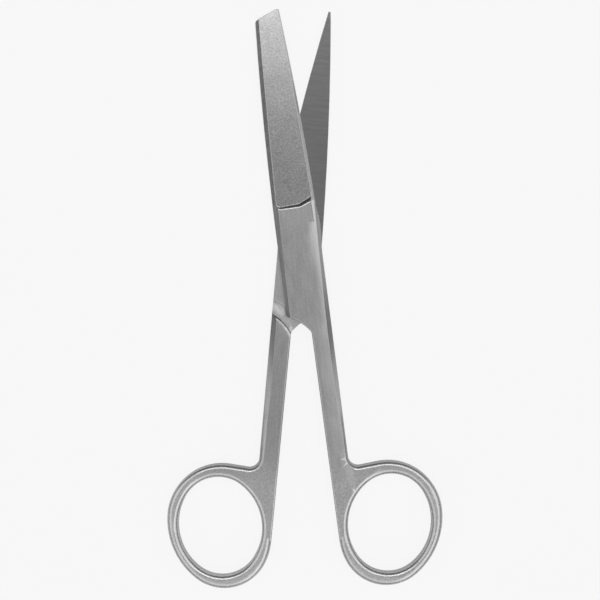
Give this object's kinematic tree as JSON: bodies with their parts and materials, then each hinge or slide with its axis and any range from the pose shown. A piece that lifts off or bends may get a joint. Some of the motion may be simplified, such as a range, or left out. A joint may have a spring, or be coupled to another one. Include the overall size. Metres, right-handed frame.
{
  "type": "surgical scissors",
  "caption": "Straight operating scissors with a pointed and a blunt blade, a lap joint on a screw and finger rings.",
  "frame": {"origin": "on the pivot axis, in the plane of the flat rear faces that the instrument lies on", "axes": "+Z along the pivot axis towards the viewer, +Y from the rings to the tips halfway between the blades, +X to the viewer's right"},
  "size_m": [0.0686, 0.1442, 0.0042],
  "materials": {
    "satin_steel": "satin ground stainless steel",
    "turned_steel": "turned stainless steel, ground flush"
  },
  "bodies": {
    "front": {"blunt_half": "satin_steel", "pivot_screw": "turned_steel"},
    "rear": {"sharp_half": "satin_steel"}
  },
  "joints": [
    {"name": "pivot", "type": "hinge", "parent": "front", "child": "rear", "pos_m": [0, 0, 0], "axis": [0, 0, 1], "range_deg": [-117, 13]}
  ]
}
